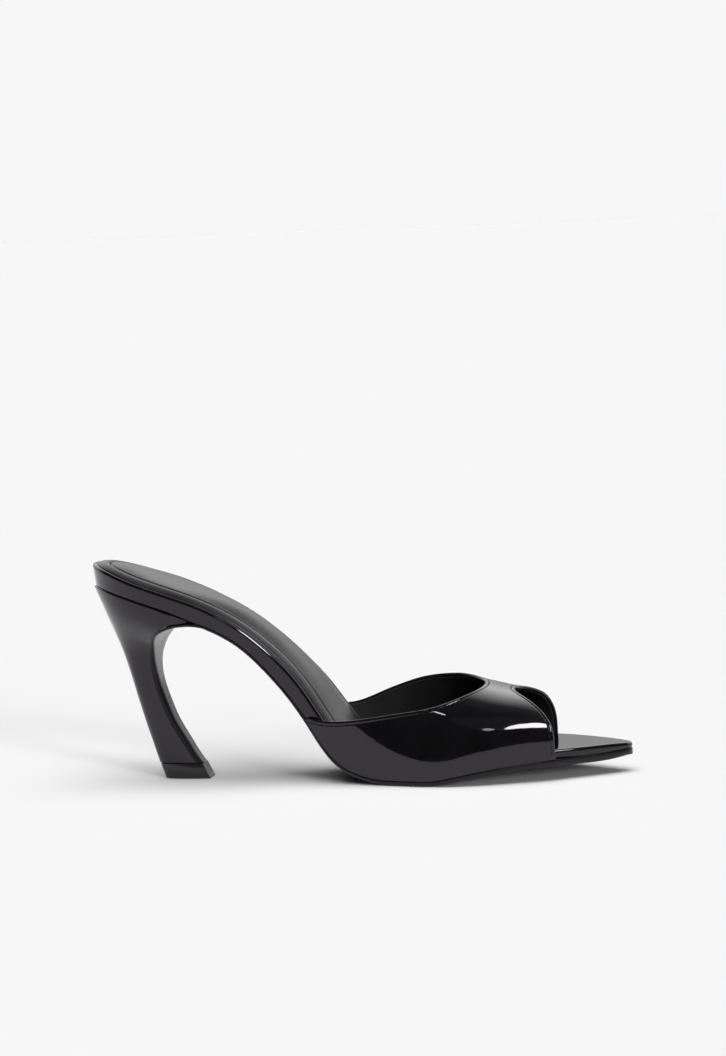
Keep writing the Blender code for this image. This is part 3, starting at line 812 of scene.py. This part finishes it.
def wear_tip():
    """Wear tip: flat underneath, broken edges, square front corners."""
    shares = np.concatenate([np.linspace(0, 0.5, 8)[:-1], 0.5 + 0.5 * np.sin(np.linspace(0, np.pi / 2, 18))])
    sections = []
    for z, back_x, front_x, half in TIP:
        sides = [
            (front_x + (back_x - front_x) * s, -half * np.sqrt(max(1 - s**3, 0.0)), z)
            for s in shares
        ]
        sections.append(sides + [(x, -y, z) for x, y, z in sides[:-1][::-1]])
    points, faces = loft(sections)
    return piece_from("wear_tip", points, faces, TIP_PLASTIC, "heel_tip")


# --------------------------------------------------------------------- vamp
def wall_at(x):
    """The leather is pared thin towards the ends of the two wings."""
    return WALL * (0.45 + 0.55 * ease(x, 92, 114))


def last_points(x, around):
    """Points of the vamp's outer face; x and around are arrays of one shape."""
    side = np.where(around < 0, -1.0, 1.0)
    edge = np.where(around < 0, board_edge(x, -1), board_edge(x, 1))
    edge = side * (edge + SIDE_GAP + wall_at(x))
    low = feather_at(x, edge)
    up = np.clip(np.sin((1 - np.abs(around)) * np.pi / 2), 0, 1) ** (2 / LAST_POWER)
    out = np.clip(1 - up ** side_power(x), 0, 1) ** (1 / LAST_POWER)
    y = ridge_offset(x) + (edge - ridge_offset(x)) * out
    high = ridge(x) - low
    limit, reach = upright(x), upright_reach(x)
    at = np.clip(limit / high, 0.01, 0.95)
    power = side_power(x)
    fall = power / LAST_POWER * at ** (power - 1) * (1 - at**power) ** (1 / LAST_POWER - 1)
    lean = np.abs(edge - ridge_offset(x)) * fall / high - 0.047
    lean = np.clip(lean * np.exp(np.minimum(limit / reach, 1.2)), -0.06, 0.19)
    y = y + side * lean * reach * (1 - np.exp(-high * up / reach)) * (1 - up**4)
    return np.stack([x, y, low + high * up], axis=-1)


def grid_normals(grid):
    u = np.gradient(grid, axis=0)
    v = np.gradient(grid, axis=1)
    n = np.cross(u, v)
    n /= np.maximum(np.linalg.norm(n, axis=2, keepdims=True), 1e-9)
    middle = n[n.shape[0] // 2, n.shape[1] // 2]
    return n if middle[2] > 0 else -n


EDGE_STEPS = (
    0.0, 0.02, 0.07, 0.16, 0.28, 0.42, 0.56, 0.70, 0.90, 1.10, 1.30, 1.45,
    1.58, 1.68, 1.75, 1.82, 1.92, 2.05, 2.25, 2.6, 3.1,
)


def vamp_grid():
    """Grid of the vamp's outer face: rows run round the foot, columns from the
    throat to the toe; also the distance of each column from the nearer edge."""
    around = np.concatenate([
        np.linspace(-1, -0.8, 36)[:-1], np.linspace(-0.8, -0.12, 90)[:-1],
        np.linspace(-0.12, 0.12, 36)[:-1], np.linspace(0.12, 0.8, 90)[:-1],
        np.linspace(0.8, 1, 36),
    ])
    start, end = throat(around), toe_cut(around)

    def steps_for(cut):
        """Length along x for each millimetre square to a cut edge."""
        tangent = np.gradient(last_points(cut, around), axis=0)
        tangent /= np.linalg.norm(tangent, axis=1)[:, None]
        along = (last_points(cut + 0.2, around) - last_points(cut - 0.2, around)) / 0.4
        square = along - (along * tangent).sum(axis=1)[:, None] * tangent
        return 1 / np.maximum(np.linalg.norm(square, axis=1), 0.25)

    steps = np.array(EDGE_STEPS)
    from_throat = start[:, None] + steps * steps_for(start)[:, None]
    from_toe = end[:, None] - steps * steps_for(end)[:, None]
    share = np.linspace(0, 1, 56)[1:-1]
    between = from_throat[:, -1:] + (from_toe[:, -1:] - from_throat[:, -1:]) * share
    x = np.concatenate([from_throat, between, from_toe[:, ::-1]], axis=1)
    distance = np.concatenate([steps, np.full(len(share), 9.0), steps[::-1]])
    grid = last_points(x, np.repeat(around[:, None], x.shape[1], axis=1))
    return around, grid, distance


AROUND, OUTER, DISTANCE = vamp_grid()
OUTER = relax(OUTER, 30, axis=0)
NORMAL = grid_normals(OUTER)
PARED = wall_at(OUTER[:, :, 0]) / WALL


def edge_drop(distance, thick):
    """How far the outer face falls away as it rolls over a cut edge."""
    half = thick / 2
    near = np.clip(half - distance, 0, None)
    return half - np.sqrt(np.clip(half**2 - near**2, 0, None))


def shell(grid, normal, depth_out, depth_in, skip):
    """A closed sheet between two depths below a grid; its two long edges meet."""
    outer = grid - normal * depth_out[..., None]
    inner = grid - normal * depth_in[..., None]
    rows, cols = outer.shape[:2]
    loop = np.concatenate([outer, inner[:, skip:cols - skip][:, ::-1]], axis=1)
    count = loop.shape[1]
    points = loop.reshape(-1, 3)
    faces = loops_to_faces(rows, count)
    for r, flip in ((0, True), (rows - 1, False)):
        low = [r * count + i for i in range(cols)]
        high = [r * count + count - 1 - i for i in range(cols - 2 * skip)]
        high = [low[0]] * skip + high + [low[-1]] * skip
        for i in range(cols - 1):
            face = []
            for corner in (low[i], low[i + 1], high[i + 1], high[i]):
                if corner not in face:
                    face.append(corner)
            if len(face) > 2:
                faces.append(tuple(face[::-1]) if flip else tuple(face))
    return points, turned_out(points, faces)


def vamp():
    """Outer leather: rolled cut edges, sunk row of stitches beside them."""
    thick = LEATHER * PARED
    distance = np.broadcast_to(DISTANCE, thick.shape)
    drop = edge_drop(distance, thick)
    groove = 0.16 * np.exp(-((distance - STITCH_INSET) / 0.20) ** 2)
    lift = 0.10 * np.exp(-((distance - 0.95) / 0.45) ** 2)
    points, faces = shell(OUTER, NORMAL, drop + groove - lift * (distance > 0.5), thick - drop, 1)
    return piece_from("vamp", points, faces, PATENT, "upper")


def vamp_lining():
    """Lining: a thinner sheet inside, set back from the cut edges."""
    keep = slice(8, OUTER.shape[1] - 8)
    grid, normal = OUTER[:, keep], NORMAL[:, keep]
    distance = np.broadcast_to(DISTANCE[keep] - DISTANCE[8], grid.shape[:2])
    thick = (WALL - LEATHER - 0.05) * PARED[:, keep]
    drop = edge_drop(distance, thick)
    top = (LEATHER + 0.03) * PARED[:, keep]
    points, faces = shell(grid, normal, top + drop, top + thick - drop, 1)
    return piece_from("vamp_lining", points, faces, LINING, None)


def stitch_rows(name, lines, radius, length, surface):
    """Short rounded stitches along lines of (point, outward normal)."""
    points, faces = [], []
    profile = [(-0.5, 0.0), (-0.46, 0.55), (-0.36, 0.9), (0.0, 1.0), (0.36, 0.9), (0.46, 0.55), (0.5, 0.0)]
    sides = 8
    for line, normals in lines:
        gaps = np.linalg.norm(np.diff(line, axis=0), axis=1)
        far = np.concatenate([[0], np.cumsum(gaps)])
        number = max(int(far[-1] / STITCH_PITCH), 1)
        for k in range(number):
            middle = (k + 0.5) * far[-1] / number

            def at(values, s):
                return np.array([np.interp(s, far, values[:, i]) for i in range(3)])

            p, n = at(line, middle), at(normals, middle)
            t = at(line, middle + 0.3) - at(line, middle - 0.3)
            t /= np.linalg.norm(t)
            n = n - np.dot(n, t) * t
            n /= np.linalg.norm(n)
            w = np.cross(t, n)
            first = len(points)
            for along, share in profile:
                sink = 0.35 * radius * (1 - share)
                for i in range(sides):
                    turn = 2 * math.pi * i / sides
                    r = max(share, 0.05) * radius
                    points.append(
                        p + t * along * length
                        + n * (r * math.sin(turn) - sink) + w * r * math.cos(turn) * 1.15
                    )
            block = loops_to_faces(len(profile), sides)
            faces += [tuple(first + i for i in face) for face in block]
            faces.append(tuple(first + i for i in range(sides))[::-1])
            faces.append(tuple(first + (len(profile) - 1) * sides + i for i in range(sides)))
    return piece_from(name, points, turned_out(points, faces), surface, None)


def vamp_stitches():
    column_at = EDGE_STEPS.index(1.75)
    lines = []
    for c in (column_at, OUTER.shape[1] - 1 - column_at):
        rows = slice(6, OUTER.shape[0] - 6)
        n = NORMAL[rows, c]
        lines.append((OUTER[rows, c] - 0.11 * n, n))
    return stitch_rows("vamp_stitches", lines, 0.17, 1.75, THREAD)


# --------------------------------------------------------------- floor, light
def floor():
    """Plain pale floor."""
    size_x, near, far = 6.0, -1.35, 12.0
    mesh = bpy.data.meshes.new("floor")
    mesh.from_pydata(
        [(-size_x, near, 0), (size_x, near, 0), (size_x, far, 0), (-size_x, far, 0)],
        [], [(0, 1, 2, 3)],
    )
    made, tree, shader = new_material("pale_floor")
    where = coords(tree, (1, 1, 1))
    put(shader, Specular_IOR_Level=0.0, Roughness=0.9)
    tree.links.new(
        ramp(tree, noise(tree, where, 3.0), [(0.3, (0.806, 0.806, 0.806)), (0.7, (0.810, 0.810, 0.810))]),
        shader.inputs["Base Color"],
    )
    mesh.materials.append(made)
    made = bpy.data.objects.new("floor", mesh)
    SCENE.collection.objects.link(made)
    return made


def aimed(piece, place, target):
    """Points an object's -Z axis from its place to a target, in metres."""
    import mathutils

    piece.location = place
    way = mathutils.Vector(target) - mathutils.Vector(place)
    piece.rotation_euler = way.to_track_quat("-Z", "Y").to_euler()


def area_light(name, place, target, size, power, shape="RECTANGLE", colour=(1, 1, 1)):
    data = bpy.data.lights.new(name, "AREA")
    data.shape = shape
    data.size, data.size_y = size
    data.energy = power
    data.color = colour
    light = bpy.data.objects.new(name, data)
    SCENE.collection.objects.link(light)
    aimed(light, place, target)
    light.visible_camera = False
    return light


def low_light(name, place, energy, spread):
    """Distant soft light that only throws the faint long shadows on the floor."""
    data = bpy.data.lights.new(name, "SUN")
    data.energy = energy
    data.angle = math.radians(spread)
    light = bpy.data.objects.new(name, data)
    SCENE.collection.objects.link(light)
    aimed(light, place, (0, 0, 0))
    light.visible_glossy = False


def lights():
    for height, energy, spread in ((9, 1.30, 14), (16, 0.72, 12)):
        low, up = math.cos(math.radians(height)), math.sin(math.radians(height))
        low_light("front_light_%d" % height, (0.61 * low, -0.787 * low, up), energy, spread)
    strip = area_light("strip_box", (0.6039, -0.4274, 0.8625), (0.07, -0.03, 0.02), (0.78, 0.17), 7.6, "ELLIPSE")
    strip.rotation_euler.rotate_axis("Z", math.radians(33))
    strip.visible_diffuse = False
    tail = area_light("tail_box", (0.3646, -0.8676, 0.811), (0.07, -0.03, 0.02), (0.16, 0.15), 0.34, "ELLIPSE")
    tail.visible_diffuse = False
    for number, size, power in ((1, (0.78, 0.42), 0.08), (2, (0.95, 0.60), 0.12), (3, (1.15, 0.80), 0.18)):
        glow = area_light("wide_box_%d" % number, (0.47, -0.375, 0.94), (0.07, -0.03, 0.02), size, power)
        glow.visible_diffuse = False
    small = area_light("small_box", (-0.17, -0.38, 1.15), (0.04, -0.03, 0.03), (0.035, 0.035), 0.085)
    small.visible_diffuse = False


# What the gloss sees behind the shoe, by the sine of the height above the floor.
BACKDROP_COLUMNS = ("height", "level")
BACKDROP = (
    (0.00, 0.42), (0.14, 0.46), (0.26, 0.90), (0.36, 1.40), (0.50, 1.30),
    (0.68, 0.75), (0.82, 0.14), (1.00, 0.08),
)


def world():
    """Pale studio: a bright bank behind the shoe, dark behind the camera, so
    that the coat reflects floor and bank and stays black elsewhere."""
    made = bpy.data.worlds.new("studio")
    SCENE.world = made
    made.use_nodes = True
    tree = made.node_tree
    tree.nodes.clear()
    out = tree.nodes.new("ShaderNodeOutputWorld")
    seen = tree.nodes.new("ShaderNodeBackground")
    seen.inputs["Color"].default_value = (0.93, 0.93, 0.93, 1)
    place = tree.nodes.new("ShaderNodeTexCoord")
    split = tree.nodes.new("ShaderNodeSeparateXYZ")
    tree.links.new(place.outputs["Generated"], split.inputs["Vector"])
    bank = ramp(tree, split.outputs["Z"], [
        (height, (level / 1.5, level / 1.5, level / 1.5)) for height, level in BACKDROP
    ])
    behind = tree.nodes.new("ShaderNodeMapRange")
    behind.interpolation_type = "SMOOTHSTEP"
    behind.inputs["From Min"].default_value = 0.03
    behind.inputs["From Max"].default_value = 0.45
    tree.links.new(split.outputs["Y"], behind.inputs["Value"])
    bright = tree.nodes.new("ShaderNodeBackground")
    bright.inputs["Strength"].default_value = 1.5
    tree.links.new(bank, bright.inputs["Color"])
    dark = tree.nodes.new("ShaderNodeBackground")
    dark.inputs["Color"].default_value = (0.035, 0.035, 0.035, 1)
    glow = tree.nodes.new("ShaderNodeMixShader")
    tree.links.new(behind.outputs["Result"], glow.inputs["Fac"])
    tree.links.new(dark.outputs["Background"], glow.inputs[1])
    tree.links.new(bright.outputs["Background"], glow.inputs[2])
    above = tree.nodes.new("ShaderNodeMapRange")
    above.interpolation_type = "SMOOTHSTEP"
    above.inputs["From Min"].default_value = 0.50
    above.inputs["From Max"].default_value = 0.90
    tree.links.new(split.outputs["Z"], above.inputs["Value"])
    ahead = tree.nodes.new("ShaderNodeMapRange")
    ahead.interpolation_type = "SMOOTHSTEP"
    ahead.inputs["From Min"].default_value = 0.70
    ahead.inputs["From Max"].default_value = 0.10
    tree.links.new(split.outputs["Y"], ahead.inputs["Value"])
    aside = tree.nodes.new("ShaderNodeMath")
    aside.operation = "ABSOLUTE"
    tree.links.new(split.outputs["X"], aside.inputs[0])
    middle = tree.nodes.new("ShaderNodeMapRange")
    middle.interpolation_type = "SMOOTHSTEP"
    middle.inputs["From Min"].default_value = 0.60
    middle.inputs["From Max"].default_value = 0.20
    tree.links.new(aside.outputs["Value"], middle.inputs["Value"])
    over = tree.nodes.new("ShaderNodeMath")
    over.operation = "MULTIPLY"
    tree.links.new(above.outputs["Result"], over.inputs[0])
    tree.links.new(middle.outputs["Result"], over.inputs[1])
    both = tree.nodes.new("ShaderNodeMath")
    both.operation = "MULTIPLY"
    tree.links.new(over.outputs["Value"], both.inputs[0])
    tree.links.new(ahead.outputs["Result"], both.inputs[1])
    level = tree.nodes.new("ShaderNodeMath")
    level.operation = "MULTIPLY"
    level.inputs[1].default_value = 4.80
    tree.links.new(both.outputs["Value"], level.inputs[0])
    soft = tree.nodes.new("ShaderNodeBackground")
    tree.links.new(level.outputs["Value"], soft.inputs["Strength"])
    path = tree.nodes.new("ShaderNodeLightPath")
    first = tree.nodes.new("ShaderNodeMixShader")
    tree.links.new(path.outputs["Is Glossy Ray"], first.inputs["Fac"])
    tree.links.new(soft.outputs["Background"], first.inputs[1])
    tree.links.new(glow.outputs["Shader"], first.inputs[2])
    second = tree.nodes.new("ShaderNodeMixShader")
    tree.links.new(path.outputs["Is Camera Ray"], second.inputs["Fac"])
    tree.links.new(first.outputs["Shader"], second.inputs[1])
    tree.links.new(seen.outputs["Background"], second.inputs[2])
    tree.links.new(second.outputs["Shader"], out.inputs["Surface"])


# ------------------------------------------------------------------- camera
def camera():
    """Long lens, a little to the toe's side and a little above the floor."""
    yaw, tilt, roll = (math.radians(a) for a in (10.944, 5.009, 2.409))
    distance = 1800.0
    target = np.array([115.754, 0.0, 103.528])
    back = np.array([
        math.sin(yaw) * math.cos(tilt), -math.cos(yaw) * math.cos(tilt), math.sin(tilt)
    ])
    right = np.array([math.cos(yaw), math.sin(yaw), 0.0])
    up = np.cross(back, right)
    right_c = math.cos(roll) * right - math.sin(roll) * up
    up_c = math.sin(roll) * right + math.cos(roll) * up
    place = (target + distance * back - SHIFT) * MM
    data = bpy.data.cameras.new("camera")
    data.sensor_fit = "AUTO"
    data.sensor_width = 36.0
    data.lens = 2.40673 * distance / 1056 * 36.0
    data.clip_start, data.clip_end = 0.05, 60.0
    made = bpy.data.objects.new("camera", data)
    SCENE.collection.objects.link(made)
    import mathutils

    made.matrix_world = mathutils.Matrix((
        (right_c[0], up_c[0], back[0], place[0]),
        (right_c[1], up_c[1], back[1], place[1]),
        (right_c[2], up_c[2], back[2], place[2]),
        (0, 0, 0, 1),
    ))
    SCENE.camera = made


footbed_wrap()
insole_pad()
insole_stitches()
sole()
heel_cover()
wear_tip()
vamp()
vamp_lining()
vamp_stitches()
floor()
lights()
world()
camera()
SCENE.view_settings.view_transform = "Standard"
